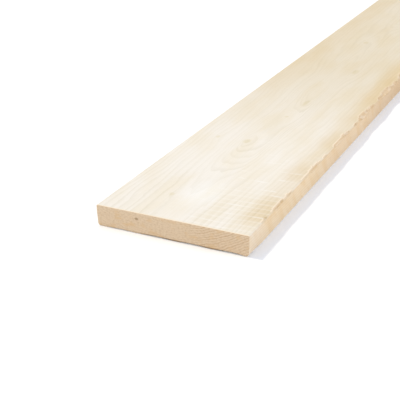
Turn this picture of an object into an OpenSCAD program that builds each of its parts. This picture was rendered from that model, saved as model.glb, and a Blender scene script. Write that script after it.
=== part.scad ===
// Rough-sawn softwood plank, crosscut square at both ends, lying flat.
// Millimetres. +X runs along the grain, +Y across the face and +Z up through the thickness.
// The origin is the centre of the underside. The near end is the one at -X, and the
// outer edge, whose upper arris is torn, is the one at -Y.

/* [Board] */
// Length of the board, along the grain
board_length = 2000; // [900:50:4000]
// Width of the sawn faces
board_width = 200; // [100:5:300]
// Thickness between the sawn faces
board_thickness = 27; // [18:1:50]
// How far the foot of the inner edge stands in, because the rip was a little out of square
inner_edge_undercut = 2; // [0:0.2:4]

/* [Arrises] */
// Width of the worn flat along the four long arrises
long_arris = 0.8; // [0.2:0.1:2]
// Width of the worn flat around the two crosscut ends
end_arris = 0.4; // [0.2:0.1:1]

/* [Torn arris] */
// Distance from the near end to the middle of the first bite
torn_start = 44; // [20:2:150]
// Distance from the middle of one bite to the middle of the next
torn_pitch = 46; // [30:2:80]
// How far a bite may lie to either side of its even place
torn_wander = 8; // [0:1:12]
// Distance from the near end to the deepest bites
torn_worst = 590; // [200:10:800]
// Distance over which the bites deepen, and then die away again
torn_reach = 330; // [100:10:600]
// Length of the bites along the arris where they are shallow
chip_length = 70; // [10:1:90]
// Depth of the bites where they are shallow, square to their own slope
chip_depth = 2.2; // [0.5:0.1:3]
// Length of the bites along the arris where they are deepest
tear_length = 82; // [50:1:120]
// Depth of the bites where they are deepest, square to their own slope
tear_depth = 4.4; // [2:0.1:8]
// Share of its size that the smallest bite lacks, where 0 makes neighbours alike
torn_variety = 0.55; // [0:0.05:0.8]
// Slope of the bites: the angle of their outward normal above the horizontal
torn_lean = 58; // [35:1:70]

/* [Breakout] */
// Number of chips that the crosscut broke out of the near end's lower arris
breakout_count = 4; // [1:1:6]
// Distance from the outer edge to the middle of the first chip
breakout_start = 24; // [15:1:40]
// Distance from the middle of one chip to the middle of the next
breakout_pitch = 48; // [20:1:60]
// Length of a chip along the arris
breakout_length = 50; // [10:1:60]
// Depth of the first chip, square to its own slope
breakout_depth = 1.8; // [0.4:0.1:2.5]
// Depth of each next chip, as a share of the one before
breakout_fading = 0.85; // [0.6:0.05:1]
// Slope of the chips: the angle of their outward normal below the horizontal
breakout_lean = 62; // [35:1:70]

/* [Wane] */
// Length of the wane on the outer lower arris, from the near end
outer_wane_length = 46; // [20:1:120]
// Depth of that wane at the near end, square to its own slope
outer_wane_depth = 2.4; // [0.5:0.1:5]
// Length of the wane on the inner lower arris, from the near end
inner_wane_length = 70; // [20:1:120]
// Depth of that wane at the near end, square to its own slope
inner_wane_depth = 1.6; // [0.5:0.1:5]
// Slope of both wanes: the angle of their outward normal below the horizontal
wane_lean = 45; // [30:1:60]

/* [Hidden] */
near_end = -board_length / 2;
outer_edge = -board_width / 2;
torn_end = torn_worst + torn_reach;
bite_count = 1 + floor((min(torn_end, board_length - torn_start) - torn_start) / torn_pitch);
// Turns from one bite to the next that never repeat, so that they lie and bite unevenly.
wander_turn = 137.5;
variety_turn = 222.5;
sapwood = [0.93, 0.86, 0.72];
$fn = 180;

// Outline of a rectangle with its four corners cut off at 45 degrees, centred on the origin.
module eased_rectangle(size, ease) {
    x = size[0] / 2;
    y = size[1] / 2;
    polygon([
        [-x + ease, -y], [x - ease, -y], [x, -y + ease], [x, y - ease],
        [x - ease, y], [-x + ease, y], [-x, y - ease], [-x, -y + ease]
    ]);
}

// Section across the grain, seen from the far end, with the outer edge at the left.
module sawn_section() {
    edge = board_width / 2;
    foot = edge - inner_edge_undercut;
    face = board_thickness / 2;
    ease = long_arris;
    polygon([
        [-edge + ease, -face], [foot - ease, -face], [foot, -face + ease], [edge, face - ease],
        [edge - ease, face], [-edge + ease, face], [-edge, face - ease], [-edge, -face + ease]
    ]);
}

// The board as it leaves the saw: a section with eased arrises, cut to length.
module sawn_blank() {
    translate([0, 0, board_thickness / 2])
        intersection() {
            rotate([90, 0, 90])
                linear_extrude(height = board_length, center = true)
                    sawn_section();
            linear_extrude(height = board_thickness, center = true)
                eased_rectangle([board_length, board_width], end_arris);
            rotate([90, 0, 0])
                linear_extrude(height = board_width, center = true)
                    eased_rectangle([board_length, board_thickness], end_arris);
        }
}

// What one shallow scoop takes off the outer upper arris of a board whose arris runs
// along X through the origin. It is a round cutter that rolls along the arris.
module scoop(length, depth, lean) {
    radius = (length * length / 4 + depth * depth) / (2 * depth);
    span = 2 * depth * (tan(lean) + 1 / tan(lean));
    rotate([-lean, 0, 0])
        translate([0, depth - radius, 0])
            cylinder(r = radius, h = span, center = true);
}

// Share of the full tear that a bite at this distance from the near end has, from 0 to 1.
function tear_share(distance) =
    let (reach = min(1, abs(distance - torn_worst) / torn_reach))
    pow(cos(90 * reach), 2);

function bite_place(i) = torn_start + i * torn_pitch + torn_wander * sin(i * wander_turn);

// Share of its full size that bite i has, because no two bites are alike.
function bite_size(i) = 1 - torn_variety * (1 + cos(i * variety_turn)) / 2;

// Bites that the saw tore out of the outer upper arris.
module torn_bites() {
    for (i = [0 : bite_count - 1]) {
        share = tear_share(bite_place(i));
        translate([near_end + bite_place(i), outer_edge, board_thickness])
            scoop(bite_size(i) * (chip_length + share * (tear_length - chip_length)),
                  bite_size(i) * (chip_depth + share * (tear_depth - chip_depth)),
                  torn_lean);
    }
}

// Chips that the crosscut broke out of the lower arris of the near end.
module end_breakout() {
    for (i = [0 : breakout_count - 1])
        translate([near_end, outer_edge + breakout_start + i * breakout_pitch, 0])
            mirror([0, 0, 1])
                rotate([0, 0, -90])
                    scoop(breakout_length, breakout_depth * pow(breakout_fading, i), breakout_lean);
}

// Wane that rounds a lower arris at the near end and runs out along the board. The arris
// stands inset from the board's full width.
module lower_wane(length, depth, inset) {
    mirror([0, 0, 1])
        translate([near_end, outer_edge + inset, 0])
            scoop(2 * length, depth, wane_lean);
}

module plank() {
    color(sapwood)
        difference() {
            sawn_blank();
            torn_bites();
            end_breakout();
            lower_wane(outer_wane_length, outer_wane_depth, 0);
            mirror([0, 1, 0])
                lower_wane(inner_wane_length, inner_wane_depth, inner_edge_undercut);
        }
}

plank();
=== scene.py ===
import math

import bmesh
import bpy
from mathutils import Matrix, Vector, noise
from mathutils.bvhtree import BVHTree


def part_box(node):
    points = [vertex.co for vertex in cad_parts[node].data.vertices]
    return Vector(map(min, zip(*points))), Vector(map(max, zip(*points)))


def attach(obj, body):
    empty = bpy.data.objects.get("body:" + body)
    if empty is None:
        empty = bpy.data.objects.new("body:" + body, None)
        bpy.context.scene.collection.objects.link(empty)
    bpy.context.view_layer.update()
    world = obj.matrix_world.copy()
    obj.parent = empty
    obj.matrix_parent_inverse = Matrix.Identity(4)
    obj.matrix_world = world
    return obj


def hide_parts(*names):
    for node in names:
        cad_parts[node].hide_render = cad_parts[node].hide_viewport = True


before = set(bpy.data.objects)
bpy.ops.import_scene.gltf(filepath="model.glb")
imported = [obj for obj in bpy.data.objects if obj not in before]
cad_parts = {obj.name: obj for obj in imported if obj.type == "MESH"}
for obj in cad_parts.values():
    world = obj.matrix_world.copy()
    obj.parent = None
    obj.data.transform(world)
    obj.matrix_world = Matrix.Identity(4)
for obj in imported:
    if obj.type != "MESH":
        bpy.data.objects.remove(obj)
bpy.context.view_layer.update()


# The plank.
# A board of spruce, ripped from beside the heart of a log on a band saw and crosscut square at
# both ends. It is one piece of solid timber, rough from the saw, with one upper arris torn.

MM = 0.001
low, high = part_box("plank")
length, width, thickness = (high - low) / MM

# Steps of its surface in millimetres. They are fine at every arris and grow away from it, and
# along the board they also grow slowly from the near end.
FINE_STATION = 1.0
STATION_GROWTH = 0.0022
FINE_COLUMN = 0.7
COARSE_COLUMN = 8.5
FINE_LAYER = 0.6
COARSE_LAYER = 2.6
ARRIS_GROWTH = 0.25


def places(span, step_at):
    """Places from 0 to span, each step_at(place) beyond the last, stretched to end exactly at span."""
    found = [0.0]
    while found[-1] < span:
        found.append(found[-1] + step_at(found[-1]))
    return [place * span / found[-1] for place in found]


def station_step(x):
    return min(FINE_STATION + STATION_GROWTH * x, FINE_STATION + ARRIS_GROWTH * max(length - x, 0))


def step_between_arrises(span, fine, coarse):
    return lambda place: min(coarse, fine + ARRIS_GROWTH * max(min(place, span - place), 0))


stations = places(length, station_step)
columns = places(width, step_between_arrises(width, FINE_COLUMN, COARSE_COLUMN))
layers = places(thickness, step_between_arrises(thickness, FINE_LAYER, COARSE_LAYER))

# A cube is cut into an even grid, whose rows are then moved to their graded places.
board = bmesh.new()
bmesh.ops.create_cube(board, size=1)
bmesh.ops.translate(board, vec=(0.5, 0.5, 0.5), verts=board.verts)
for axis, rows in enumerate((stations, columns, layers)):
    along = [e for e in board.edges if abs(e.verts[0].co[axis] - e.verts[1].co[axis]) > 0.5]
    bmesh.ops.subdivide_edges(board, edges=along, cuts=len(rows) - 2, use_grid_fill=True)
for vert in board.verts:
    for axis, rows in enumerate((stations, columns, layers)):
        row = round(vert.co[axis] * (len(rows) - 1))
        vert.co[axis] = low[axis] + rows[row] * MM

# The block's surface is drawn in to that of the sawn solid: its arrises, bites, chips and wane.
# What is drawn in beside the torn arris is torn wood, and the deep part of it is bitten too.
TORN_ZONE_WIDTH = 15
TORN_ZONE_FOOT = 12
LEAST_DRAWN_IN = 0.03
ARRIS_FLAT = 0.8
TORN_BLEND = 0.5
BITE_START = 0.6
BITE_BLEND = 1.5
MERGE_DISTANCE = 0.02


def share_past(value, start, blend):
    """0 up to start, 1 from start + blend on, and a straight rise between them."""
    return min(max((value - start) / blend, 0.0), 1.0)


solid = bmesh.new()
solid.from_mesh(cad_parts["plank"].data)
surface = BVHTree.FromBMesh(solid)
torn = board.verts.layers.float.new("torn")
bitten = board.verts.layers.float.new("bitten")
for vert in board.verts:
    nearest = surface.find_nearest(vert.co)[0]
    drawn_in = (vert.co - nearest).length / MM
    from_arris = max(nearest.y - low.y, high.z - nearest.z) / MM
    in_zone = vert.co.y < low.y + TORN_ZONE_WIDTH * MM and vert.co.z > low.z + TORN_ZONE_FOOT * MM
    if in_zone and drawn_in > LEAST_DRAWN_IN:
        vert[torn] = share_past(from_arris, ARRIS_FLAT, TORN_BLEND)
        vert[bitten] = share_past(drawn_in, BITE_START, BITE_BLEND)
    vert.co = nearest
bmesh.ops.remove_doubles(board, verts=board.verts, dist=MERGE_DISTANCE * MM)
solid.free()

# The top face carries a painted highlight, a pale narrow line along the bites.
TOP_FACE_SLACK = 0.1
HALF_TORN = 0.5
arris_highlight = board.verts.layers.float.new("arris_highlight")
for vert in board.verts:
    beside_bite = any(edge.other_vert(vert)[torn] > HALF_TORN for edge in vert.link_edges)
    if vert[torn] < HALF_TORN and vert.co.z > high.z - TOP_FACE_SLACK * MM and beside_bite:
        vert[arris_highlight] = 1.0

# The saw's marks: how far apart they are, and how far they lean along the board for each
# millimetre across the face or up the edge.
FACE_MARK_PITCH = 13
FACE_MARK_SLANT = 0.06
EDGE_MARK_PITCH = 11
EDGE_MARK_SLANT = 0.5
FACE_RIPPLE = 0.20
EDGE_RIPPLE = 0.22

# How deep the surface is worked besides, in millimetres. It counts as facing along an axis where
# its normal has more than SQUARE_ON of that axis.
SQUARE_ON = 0.7
GRAIN_FURROWS = 0.08
CROSSCUT_DENTS = 0.10
CROSSCUT_PORES = 0.06
RAGGED_REACH = 2.2
RAGGED_DEPTH = 0.45
END_ARRIS_REACH = 8
END_ARRIS_SPARED = 0.7
BITE_HOLLOWS = 1.5
BITE_SPLINTERS = 0.5


def rough(x, y, z):
    """Noise from 0 to 1 at a place. A bare number for a place only picks a slice of it."""
    return 0.5 + 0.5 * noise.noise(Vector((x, y, z)))


def saw_ripple(x, across, pitch, slant):
    """Washboard that the moving blade left across a sawn face, from 0 to 1."""
    drift = 0.6 * noise.noise(Vector((x / 55, across / 90, 3.1)))
    return 0.5 + 0.5 * math.sin(2 * math.pi * ((x + slant * across) / pitch + drift))


def relief(x, y, z, facing):
    """How deep the surface lies below the sawn solid at a place, in millimetres."""
    if abs(facing.x) > SQUARE_ON:
        dents = CROSSCUT_DENTS * rough(y / 2.2, z / 9, x)
        return dents + CROSSCUT_PORES * rough(y / 0.9, z / 2, 7)
    grain = GRAIN_FURROWS * rough(x / 40, y / 1.6, z / 1.6)
    if abs(facing.z) > SQUARE_ON:
        strength = rough(x / 120, y / 60, 5 * facing.z)
        return grain + FACE_RIPPLE * strength * saw_ripple(x, y, FACE_MARK_PITCH, FACE_MARK_SLANT)
    strength = rough(x / 70, 9, z / 40)
    return grain + EDGE_RIPPLE * strength * saw_ripple(x, z, EDGE_MARK_PITCH, EDGE_MARK_SLANT)


def raggedness(x, y, z):
    """How deep the long arrises are worn ragged at a place, less so at the near end."""
    to_arris = sorted((min(y, width - y), min(z, thickness - z)))[1]
    near_arris = max(0.0, 1 - to_arris / RAGGED_REACH)
    spared = 1 - END_ARRIS_SPARED * max(0, 1 - x / END_ARRIS_REACH)
    return near_arris * RAGGED_DEPTH * rough(x / 6, y / 2, z / 2) ** 2 * spared


def splintering(x, y, z):
    """How deep a bite is splintered at a place."""
    hollows = BITE_HOLLOWS * rough(x / 20, y / 5, z / 5)
    return hollows + BITE_SPLINTERS * rough(x / 12, y / 1.8, z / 1.8)


board.normal_update()
moves = []
for vert in board.verts:
    x, y, z = (vert.co - low) / MM
    depth = relief(x, y, z, vert.normal)
    depth += raggedness(x, y, z)
    depth += vert[bitten] * splintering(x, y, z)
    moves.append(depth)
for vert, depth in zip(board.verts, moves):
    vert.co -= vert.normal * depth * MM
    for axis in range(3):
        vert.co[axis] = min(max(vert.co[axis], low[axis]), high[axis])

for face in board.faces:
    face.smooth = True
mesh = bpy.data.meshes.new("sawn_plank")
board.to_mesh(mesh)
board.free()
plank = bpy.data.objects.new("sawn_plank", mesh)
bpy.context.scene.collection.objects.link(plank)

# Its timber is pale, unplaned spruce. One field of growth rings runs through the whole board, so
# that the rings on the crosscut end meet the grain on the faces and edges.
wood = bpy.data.materials.new("rough_sawn_spruce")
wood.use_nodes = True
tree = wood.node_tree
tree.nodes.clear()


def tone(red, green, blue):
    """A colour given from 0 to 255 as it looks, as the linear values that a shader takes."""
    shares = [value / 255 for value in (red, green, blue)]
    return [s / 12.92 if s <= 0.04045 else ((s + 0.055) / 1.055) ** 2.4 for s in shares] + [1]


def node(kind, **settings):
    made = tree.nodes.new("ShaderNode" + kind)
    for name, value in settings.items():
        setattr(made, name, value)
    return made


def feed(socket, value):
    if isinstance(value, bpy.types.NodeSocket):
        tree.links.new(value, socket)
    else:
        socket.default_value = value


def maths(operation, *values):
    made = node("Math", operation=operation)
    for socket, value in zip(made.inputs, values):
        feed(socket, value)
    return made.outputs[0]


def vectors(operation, *values):
    made = node("VectorMath", operation=operation)
    for socket, value in zip(made.inputs, values):
        feed(socket, value)
    return made.outputs["Value" if operation == "LENGTH" else "Vector"]


def joined(x, y, z):
    made = node("CombineXYZ")
    for socket, value in zip(made.inputs, (x, y, z)):
        feed(socket, value)
    return made.outputs[0]


def from_centre(place, centre, half_sizes):
    """How far place is from centre, where 1 is the rim of an ellipse with these half-sizes."""
    return vectors("LENGTH", vectors("DIVIDE", vectors("SUBTRACT", place, centre), half_sizes))


def ramp(value, start, end, low_value=0.0, high_value=1.0):
    """value, eased from low_value at start to high_value at end, and held beyond them."""
    made = node("MapRange", interpolation_type="SMOOTHSTEP")
    for socket, given in zip(made.inputs, (value, start, end, low_value, high_value)):
        feed(socket, given)
    return made.outputs[0]


def mottle(place, size, detail=2.0, roughness=0.5):
    """Noise from 0 to 1 whose blots are size = (x, y, z) millimetres across."""
    made = node("TexNoise", normalize=True)
    feed(made.inputs["Vector"], vectors("DIVIDE", place, size))
    feed(made.inputs["Scale"], 1.0)
    feed(made.inputs["Detail"], detail)
    feed(made.inputs["Roughness"], roughness)
    return made.outputs[0]


def swing(value, amount):
    """Noise turned into a swing of up to about amount to either side of nothing."""
    return maths("MULTIPLY", maths("SUBTRACT", value, 0.5), 2 * amount)


def mixed(factor, first, second, blend="MIX"):
    made = node("Mix", data_type="RGBA", blend_type=blend, clamp_factor=True)
    first_colour, second_colour = [socket for socket in made.inputs if socket.type == "RGBA"]
    feed(made.inputs["Factor"], factor)
    feed(first_colour, first)
    feed(second_colour, second)
    return [socket for socket in made.outputs if socket.type == "RGBA"][0]


# Places in millimetres: x from the near end, y from the middle and z from the underside. The
# numbers of a ramp are where it starts and ends, then its value at the start and at the end.
END_FACING = (0.5, 0.8)
EDGE_FACING = (0.45, 0.85)
where = node("TexCoord")
scaled = node("Mapping", vector_type="POINT")
feed(scaled.inputs["Vector"], where.outputs["Object"])
scaled.inputs["Scale"].default_value = [1 / MM] * 3
scaled.inputs["Location"].default_value = (length / 2, 0, 0)
place = scaled.outputs[0]
split = node("SeparateXYZ")
feed(split.inputs[0], place)
x, y, z = split.outputs
facing = node("SeparateXYZ")
feed(facing.inputs[0], where.outputs["Normal"])
end_face = ramp(maths("ABSOLUTE", facing.outputs[0]), *END_FACING)
edge_face = ramp(maths("ABSOLUTE", facing.outputs[1]), *EDGE_FACING)

# The heart of the tree runs above the board, a little off its middle, and nears it along the board.
HEART_ASIDE = 10
HEART_SWAY = -7
SWAY_LENGTH = 240
HEART_HEIGHT = 178
HEART_FALL = 0.012
RING = 3.0
heart_sway = maths("SINE", maths("DIVIDE", x, SWAY_LENGTH))
heart_y = maths("ADD", HEART_ASIDE, maths("MULTIPLY", heart_sway, HEART_SWAY))
heart_z = maths("SUBTRACT", HEART_HEIGHT, maths("MULTIPLY", x, HEART_FALL))
from_heart_y = maths("SUBTRACT", y, heart_y)
from_heart_z = maths("SUBTRACT", z, heart_z)
radius = vectors("LENGTH", joined(from_heart_y, from_heart_z, 0.0))

# Branches grow outwards from the heart. Each is set by where it comes out of the top face.
spread = maths("DIVIDE", maths("SUBTRACT", heart_z, thickness), maths("SUBTRACT", heart_z, z))
branch_y = maths("ADD", heart_y, maths("MULTIPLY", from_heart_y, spread))
branch_place = joined(x, branch_y, 0.0)
waver_along = swing(mottle(place, (9, 5, 5)), 2.0)
waver_across = swing(mottle(place, (11, 6, 6)), 1.6)
wavering = vectors("ADD", branch_place, joined(waver_along, waver_across, 0.0))

# Place along the board, place across it, half-length and half-width of the knot, and how far it
# lifts the rings around it. The lift reaches further the higher it is.
KNOTS = [
    (68, 32, 4.0, 2.5, 1.5),
    (277, 19, 7.0, 4.5, 7.0),
    (277, 64, 4.0, 2.2, 1.5),
    (400, 5, 3.0, 2.0, 1.5),
    (474, 0, 12.0, 3.0, 3.0),
    (672, -21, 12.0, 4.0, 5.0),
    (872, 18, 6.0, 4.0, 6.0),
    (1075, -30, 7.0, 4.5, 7.0),
    (1282, 24, 5.0, 3.5, 5.0),
    (1486, -8, 8.0, 5.0, 8.0),
    (1690, 30, 6.0, 4.0, 6.0),
    (1884, -16, 7.0, 4.0, 6.0),
]
REACH_ALONG = 14
REACH_ALONG_PER_LIFT = 3.4
REACH_ACROSS = 7
REACH_ACROSS_PER_LIFT = 0.55
knot_near = None
lift = None
for knot_x, knot_y, half_length, half_width, raised in KNOTS:
    centre = (knot_x, knot_y, 0)
    reach = (REACH_ALONG + REACH_ALONG_PER_LIFT * raised, REACH_ACROSS + REACH_ACROSS_PER_LIFT * raised, 1)
    fade = maths("EXPONENT", maths("MULTIPLY", from_centre(branch_place, centre, reach), -1))
    raise_here = maths("MULTIPLY", fade, raised)
    lift = raise_here if lift is None else maths("ADD", lift, raise_here)
    distance = from_centre(wavering, centre, (half_length, half_width, 1))
    knot_near = distance if knot_near is None else maths("MINIMUM", knot_near, distance)

# Swellings of the trunk, which show as nested arches that open towards the far end: where each
# starts to rise, is full, starts to fall and is gone, its middle, half-width and height.
SWELLINGS = [
    (120, 290, 600, 900, 7, 23, 11.0),
    (410, 540, 820, 1040, 3, 11, 8.0),
    (960, 1140, 1380, 1640, -12, 24, 15.0),
    (1500, 1660, 1860, 2100, 14, 20, 12.0),
]
SWELLING_FLANK = 11
SWELLING_SWAY = 9.0
swayed_y = maths("ADD", branch_y, swing(mottle(place, (130, 60, 60), 1.0), SWELLING_SWAY))
for start, full, ease_off, gone, middle, half_width, raised in SWELLINGS:
    along = maths("MULTIPLY", ramp(x, start, full), ramp(x, gone, ease_off))
    aside = maths("ABSOLUTE", maths("SUBTRACT", swayed_y, middle))
    across = ramp(aside, half_width + SWELLING_FLANK, half_width - SWELLING_FLANK)
    lift = maths("ADD", lift, maths("MULTIPLY", maths("MULTIPLY", along, across), raised))

# The rings wander a little, in long waves and in short ones.
LONG_WANDER = 4.0
SHORT_WANDER = 1.6
long_wander = swing(mottle(place, (190, 45, 45), 1.0), LONG_WANDER)
short_wander = swing(mottle(place, (75, 14, 14), 2.0), SHORT_WANDER)
wander = maths("ADD", long_wander, short_wander)
ring_place = maths("DIVIDE", maths("ADD", maths("SUBTRACT", radius, lift), wander), RING)

# Across a ring the wood darkens slowly into late wood, which ends sharply. No two rings are
# equally strong.
LATE_RISE = (0.25, 0.9)
LATE_STEEPNESS = 1.6
LATE_END = (1.0, 0.93)
RING_STRENGTH = (0.3, 0.7, 0.45, 1.1)
ring_part = maths("FRACT", ring_place)
late_rise = maths("POWER", ramp(ring_part, *LATE_RISE), LATE_STEEPNESS)
late_wood = maths("MULTIPLY", late_rise, ramp(ring_part, *LATE_END))
ring_strength = mottle(joined(ring_place, 0.0, maths("DIVIDE", x, 400)), (1.7, 1, 1), 1.0)
late_wood = maths("MULTIPLY", late_wood, ramp(ring_strength, *RING_STRENGTH))

# The sawn face. The near end is almost white, most of all in one oval, partly bleached and partly
# painted light. Away from it the face turns the colour of straw, partly painted shade where the light is
# weaker.
BLEACHED_AND_LIT = tone(233, 227, 218)
WHITEST = tone(237, 234, 230)
STRAW = tone(220, 209, 189)
STRAW_TURN = (180, 720)
WHITEST_CENTRE = (85, -4, 27)
WHITEST_SIZE = (60, 34, 60)
# Partly painted light: the face is paler towards the near end, where the light is strongest.
face_wood = mixed(ramp(x, *STRAW_TURN), BLEACHED_AND_LIT, STRAW)
whitest = from_centre(place, WHITEST_CENTRE, WHITEST_SIZE)
face_wood = mixed(ramp(whitest, 1.0, 0.2), face_wood, WHITEST)

# Beside the torn edge it is the colour of honey, and further along a little so beside the inner
# edge too. At first the honey lies in patches, which come and go as a sine, PATCH_RADIAN
# millimetres to its radian, and then run together.
HONEY = tone(216, 196, 161)
PATCH_START = 40
PATCH_RADIAN = 20.5
PATCH_WAVER = 1.2
PATCHES_JOIN = (420, 540)
NEAR_END_FADE = (5, 55, 0.25, 1.0)
TORN_SIDE = (-58, -94)
TORN_SIDE_WAVER = 9.0
INNER_SIDE = (40, 85)
INNER_SIDE_START = (420, 600, 0.0, 0.35)
patch_turn = maths("DIVIDE", maths("SUBTRACT", x, PATCH_START), PATCH_RADIAN)
patch_waver = swing(mottle(place, (90, 30, 30)), PATCH_WAVER)
patch_wave = maths("SINE", maths("ADD", patch_turn, patch_waver))
patches = maths("MAXIMUM", ramp(patch_wave, -0.9, 0.9, 0.4, 0.7), ramp(x, *PATCHES_JOIN))
patches = maths("MULTIPLY", patches, ramp(x, *NEAR_END_FADE))
edge_reach = maths("ADD", y, swing(mottle(place, (45, 12, 12), 3.0), TORN_SIDE_WAVER))
beside_torn_edge = maths("MULTIPLY", ramp(edge_reach, *TORN_SIDE), patches)
beside_inner_edge = maths("MULTIPLY", ramp(y, *INNER_SIDE), ramp(x, *INNER_SIDE_START))
honey_share = maths("MAXIMUM", beside_torn_edge, beside_inner_edge)
face_wood = mixed(honey_share, face_wood, HONEY)

# Faint clouds lie over the face. Its growth rings show strongest at the near end, in the arches
# of the first swelling and down one leg of them.
CLOUD = tone(252, 249, 241)
FACE_LATE = tone(246, 245, 241)
FIGURE_FADE = (50, 230, 1.0, 0.5)
ARCHES_CENTRE = (215, 0, 27)
ARCHES_SIZE = (130, 34, 60)
LEG_CENTRE = (390, -14, 27)
LEG_SIZE = (190, 13, 60)
cloud = mottle(place, (110, 30, 30), 3.0)
face_wood = mixed(ramp(cloud, 0.35, 0.7), face_wood, CLOUD, "MULTIPLY")
arches = from_centre(place, ARCHES_CENTRE, ARCHES_SIZE)
leg = from_centre(place, LEG_CENTRE, LEG_SIZE)
figure = maths("MAXIMUM", ramp(x, *FIGURE_FADE), ramp(arches, 1.1, 0.5))
figure = maths("MAXIMUM", figure, ramp(leg, 1.2, 0.6))
face_late = maths("MULTIPLY", late_wood, figure)
face_wood = mixed(face_late, face_wood, FACE_LATE, "MULTIPLY")

# Fibres that stand up along the saw's marks catch the light as pale strokes across the board.
FUZZ = tone(243, 241, 238)
MARK_WAVER = 8.0
FUZZY_UNTIL = (330, 120)
FUZZY_SIDE = (5, -30, 0.15, 1.0)
CORNER_LENGTH = (150, 90)
CORNER_WIDTH = (-5, -35)
CORNER_FUZZ = 0.4
FUZZ_STRENGTH = 0.45
mark_lean = maths("ADD", x, maths("MULTIPLY", y, FACE_MARK_SLANT))
mark_place = maths("ADD", mark_lean, swing(mottle(place, (60, 90, 90), 1.0), MARK_WAVER))
mark_part = maths("FRACT", maths("DIVIDE", mark_place, FACE_MARK_PITCH))
mark = maths("MULTIPLY", ramp(mark_part, 0.28, 0.5), ramp(mark_part, 0.72, 0.5))
tufts = ramp(mottle(place, (11, 24, 24), 3.0), 0.48, 0.66)
fuzzy = maths("MULTIPLY", tufts, ramp(x, *FUZZY_UNTIL))
fuzzy = maths("MULTIPLY", fuzzy, ramp(y, *FUZZY_SIDE))
near_corner = maths("MULTIPLY", ramp(x, *CORNER_LENGTH), ramp(y, *CORNER_WIDTH))
fuzzy = maths("MAXIMUM", fuzzy, maths("MULTIPLY", near_corner, CORNER_FUZZ))
face_wood = mixed(maths("MULTIPLY", maths("MULTIPLY", mark, fuzzy), FUZZ_STRENGTH), face_wood, FUZZ)

# The face is warmer in a thin rim along the near end.
RIM = tone(236, 221, 197)
RIM_WIDTH = (3.2, 0.8, 0.0, 0.9)
face_wood = mixed(ramp(x, *RIM_WIDTH), face_wood, RIM)

# The sawn edges: cream at the near end, then deeper and deeper along the board, partly their own
# colour and partly painted shade where the light grows weaker away from the near end.
CREAM = tone(231, 215, 194)
EDGE_PALE = tone(229, 207, 175)
EDGE_WOOD = tone(224, 200, 168)
EDGE_DEEP = tone(213, 188, 157)
EDGE_LATE = tone(249, 245, 237)
EDGE_BAND = tone(251, 246, 237)
PALE_TURN = (10, 60)
WOOD_TURN = (180, 340)
DEEP_TURN = (400, 620)
BAND_SLANT = 0.7
# Partly painted shade: the edges deepen along the board, where the light grows weaker.
edge_wood = mixed(ramp(x, *PALE_TURN), CREAM, EDGE_PALE)
edge_wood = mixed(ramp(x, *WOOD_TURN), edge_wood, EDGE_WOOD)
edge_wood = mixed(ramp(x, *DEEP_TURN), edge_wood, EDGE_DEEP)
edge_wood = mixed(late_wood, edge_wood, EDGE_LATE, "MULTIPLY")
slanted = joined(maths("ADD", x, maths("MULTIPLY", z, BAND_SLANT)), y, z)
bands = ramp(mottle(slanted, (14, 40, 40), 2.0), 0.4, 0.65)
edge_wood = mixed(bands, edge_wood, EDGE_BAND, "MULTIPLY")

# Along the upper arris, for the first part of the board, they carry a pale painted highlight. Along
# the foot they are lightened with painted light, against the shade that falls there.
EDGE_ARRIS_HIGHLIGHT = tone(238, 224, 207)
EDGE_FOOT_LIGHT = tone(246, 238, 226)
UPPER_ARRIS = (25.6, 26.6)
UPPER_ARRIS_FADE = (460, 240, 0.0, 0.5)
EDGE_FOOT_LIGHT_HEIGHT = (3.0, 0.6, 0.0, 0.8)
# Painted highlight along the upper arris of the edge.
edge_highlight_share = maths("MULTIPLY", ramp(z, *UPPER_ARRIS), ramp(x, *UPPER_ARRIS_FADE))
edge_wood = mixed(edge_highlight_share, edge_wood, EDGE_ARRIS_HIGHLIGHT)
# Painted light: the edge's foot is lightened against the shade that falls there.
edge_wood = mixed(ramp(z, *EDGE_FOOT_LIGHT_HEIGHT), edge_wood, EDGE_FOOT_LIGHT)

# Where the arris is torn, splintered fibres lie pale and dark side by side. Towards the near end
# they take on about half of the clean edge's colour.
TORN_WOOD = tone(216, 189, 153)
TORN_PALE = tone(226, 206, 180)
TORN_DARK = tone(202, 172, 133)
CLEANER_NEAR_END = (450, 150, 0.0, 0.55)
pale_fibres = ramp(mottle(slanted, (20, 12, 12), 2.0), 0.42, 0.66)
torn_wood = mixed(pale_fibres, TORN_WOOD, TORN_PALE)
dark_fibres = ramp(mottle(slanted, (13, 7, 7), 2.0), 0.5, 0.7, 0.0, 0.8)
torn_wood = mixed(dark_fibres, torn_wood, TORN_DARK)
torn_wood = mixed(ramp(x, *CLEANER_NEAR_END), torn_wood, edge_wood)

# The crosscut ends are the deepest, because open pores drink the light. Their rings show most
# towards the torn edge.
END_WOOD = tone(229, 204, 172)
END_LATE = tone(236, 224, 210)
END_SPECKLE = tone(240, 235, 227)
END_WARM = tone(222, 187, 140)
END_RINGS = (-5, -55, 0.25, 1.0)
end_late = maths("MULTIPLY", late_wood, ramp(y, *END_RINGS))
end_wood = mixed(end_late, END_WOOD, END_LATE, "MULTIPLY")
speckle = mottle(place, (9, 3.0, 2.2), 3.0, 0.7)
end_wood = mixed(ramp(speckle, 0.4, 0.7), end_wood, END_SPECKLE, "MULTIPLY")
warm = mottle(joined(0.0, y, z), (1, 16, 7), 2.0)
end_wood = mixed(ramp(warm, 0.52, 0.7, 0.0, 0.6), end_wood, END_WARM)

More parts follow.
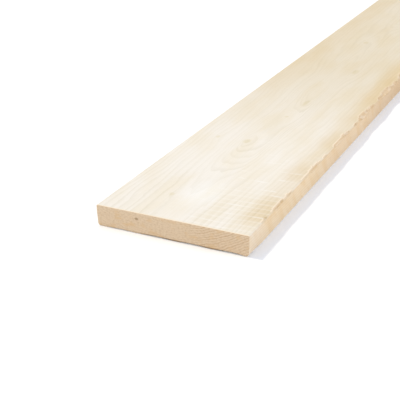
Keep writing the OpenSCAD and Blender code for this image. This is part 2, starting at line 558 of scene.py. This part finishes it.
# The near end has a dark speck. Both ends are darkened along the foot with painted shade, for the
# contact shadow under them, but not at the outer corner, and hardly at the inner side.
SPECK = tone(206, 197, 186)
FOOT_SHADE = tone(178, 166, 155)
SPECK_CENTRE = (0, 45, 19)
SPECK_SIZE = (9, 2.6, 1.8)
SPOT_RIM = (1.3, 0.5)
FOOT_SHADE_HEIGHT = (2.6, 1.3)
FOOT_SHADE_INNER_FADE = (60, 10, 0.15, 1.0)
FOOT_SHADE_CORNER_FADE = (-96, -80)
from_speck = from_centre(place, SPECK_CENTRE, SPECK_SIZE)
end_wood = mixed(ramp(from_speck, *SPOT_RIM), end_wood, SPECK, "MULTIPLY")
# Painted shade: the foot of each end is darkened where the contact shadow falls under it.
foot_shade = maths("MULTIPLY", ramp(z, *FOOT_SHADE_HEIGHT), ramp(y, *FOOT_SHADE_INNER_FADE))
foot_shade = maths("MULTIPLY", foot_shade, ramp(y, *FOOT_SHADE_CORNER_FADE))
end_wood = mixed(foot_shade, end_wood, FOOT_SHADE, "MULTIPLY")

# Each wood takes its own part of the board. A painted highlight beside the bites and the painted shade of
# two small nicks lie over the torn arris.
ARRIS_HIGHLIGHT = tone(242, 226, 204)
NICK_SHADE = tone(232, 224, 209)
ARRIS_HIGHLIGHT_FADE = (500, 250, 0.25, 0.9)
NICK_SHADE_PLACES = (52, 107)
NICK_SHADE_ACROSS = -98
NICK_SHADE_UP = 26.5
NICK_SHADE_SIZE = (5.0, 1.8, 2.5)
colour = mixed(edge_face, face_wood, edge_wood)
torn_share = node("Attribute", attribute_type="GEOMETRY", attribute_name="torn").outputs["Fac"]
colour = mixed(torn_share, colour, torn_wood)
# Painted highlight: a pale line on the top face beside the bites.
arris_highlight_share = node("Attribute", attribute_type="GEOMETRY", attribute_name="arris_highlight").outputs["Fac"]
colour = mixed(maths("MULTIPLY", arris_highlight_share, ramp(x, *ARRIS_HIGHLIGHT_FADE)), colour, ARRIS_HIGHLIGHT)
# Painted shade: two small dark spots on the torn arris stand in for the shade in small nicks.
for nick_shade_x in NICK_SHADE_PLACES:
    from_nick_shade = from_centre(place, (nick_shade_x, NICK_SHADE_ACROSS, NICK_SHADE_UP), NICK_SHADE_SIZE)
    colour = mixed(ramp(from_nick_shade, *SPOT_RIM), colour, NICK_SHADE, "MULTIPLY")
colour = mixed(end_face, colour, end_wood)

# Fine streaks along the grain, and the knots, run through all of it.
STREAK = tone(252, 252, 251)
KNOT_WOOD = tone(248, 246, 236)
KNOT_RIM = (1.6, 0.7)
streak = mottle(place, (70, 1.3, 1.3), 3.0, 0.6)
colour = mixed(ramp(streak, 0.35, 0.7), colour, STREAK, "MULTIPLY")
colour = mixed(ramp(knot_near, *KNOT_RIM), colour, KNOT_WOOD, "MULTIPLY")

# Raw wood is dull. Its finest fibres are too small for the mesh, so they are a slight bump.
WOOD_ROUGHNESS = 0.8
WOOD_SHINE = 0.25
FIBRE_STRENGTH = 0.35
FIBRE_DEPTH = 0.3
shader = node("BsdfPrincipled")
feed(shader.inputs["Base Color"], colour)
shader.inputs["Roughness"].default_value = WOOD_ROUGHNESS
shader.inputs["Specular IOR Level"].default_value = WOOD_SHINE
fine_grain = mottle(place, (14, 0.5, 0.5), 3.0, 0.6)
bump = node("Bump")
bump.inputs["Strength"].default_value = FIBRE_STRENGTH
bump.inputs["Distance"].default_value = FIBRE_DEPTH * MM
feed(bump.inputs["Height"], fine_grain)
feed(shader.inputs["Normal"], bump.outputs[0])
output = node("OutputMaterial")
feed(output.inputs["Surface"], shader.outputs[0])
mesh.materials.append(wood)

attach(plank, "root")
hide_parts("plank")


# The studio.
# A pale floor without a horizon in view, an even pale surround, and one soft lamp to the left
# that throws a short shadow off the torn edge. A weak fill lamp lights the torn edge itself.

FLOOR_SIZE = 24
FLOOR_PAINT = (0.945, 0.955, 0.98, 1)
FLOOR_ROUGHNESS = 0.9
floor_mesh = bpy.data.meshes.new("studio_floor")
sheet = bmesh.new()
bmesh.ops.create_grid(sheet, x_segments=1, y_segments=1, size=FLOOR_SIZE / 2)
bmesh.ops.translate(sheet, vec=(0, 0, low.z), verts=sheet.verts)
sheet.to_mesh(floor_mesh)
sheet.free()
floor = bpy.data.objects.new("studio_floor", floor_mesh)
bpy.context.scene.collection.objects.link(floor)
paint = bpy.data.materials.new("pale_floor")
paint.use_nodes = True
paint.node_tree.nodes["Principled BSDF"].inputs["Base Color"].default_value = FLOOR_PAINT
paint.node_tree.nodes["Principled BSDF"].inputs["Roughness"].default_value = FLOOR_ROUGHNESS
floor_mesh.materials.append(paint)

SURROUND = (0.793, 0.822, 0.888, 1)
world = bpy.data.worlds.new("studio_surround")
world.use_nodes = True
world.node_tree.nodes["Background"].inputs["Color"].default_value = SURROUND
world.node_tree.nodes["Background"].inputs["Strength"].default_value = 1.0
bpy.context.scene.world = world

KEY_STRENGTH = 1.33
KEY_TINT = (1.0, 0.918, 0.733)
KEY_SOFTNESS = math.radians(6.5)
KEY_LEAN = math.radians(-33)
lamp_data = bpy.data.lights.new("key_lamp", "SUN")
lamp_data.energy = KEY_STRENGTH
lamp_data.color = KEY_TINT
lamp_data.angle = KEY_SOFTNESS
lamp = bpy.data.objects.new("key_lamp", lamp_data)
lamp.rotation_euler = (KEY_LEAN, 0, 0)
bpy.context.scene.collection.objects.link(lamp)

FILL_PLACE = Vector((-0.5, -1.9, 0.55))
FILL_SIZE = 1.0
FILL_WATTS = 8.0
fill_data = bpy.data.lights.new("fill_lamp", "AREA")
fill_data.shape = "SQUARE"
fill_data.size = FILL_SIZE
fill_data.energy = FILL_WATTS
fill = bpy.data.objects.new("fill_lamp", fill_data)
fill.location = FILL_PLACE
fill.rotation_euler = FILL_PLACE.to_track_quat("Z", "Y").to_euler()
bpy.context.scene.collection.objects.link(fill)

bpy.context.scene.view_settings.view_transform = "Standard"


# The camera.
# It looks along and down on the board from before its near end, and a little to the outer side.

HEADING = math.radians(25.3)
DIP = math.radians(24.31)
LENS_MM = 84.5
STAND_BACK = Vector((-0.877, -0.353, 0.498))
camera_data = bpy.data.cameras.new("camera")
camera_data.lens = LENS_MM
camera = bpy.data.objects.new("camera", camera_data)
camera.location = Vector((low.x, low.y, low.z)) + STAND_BACK
camera.rotation_euler = (math.pi / 2 - DIP, 0, HEADING - math.pi / 2)
bpy.context.scene.collection.objects.link(camera)
bpy.context.scene.camera = camera
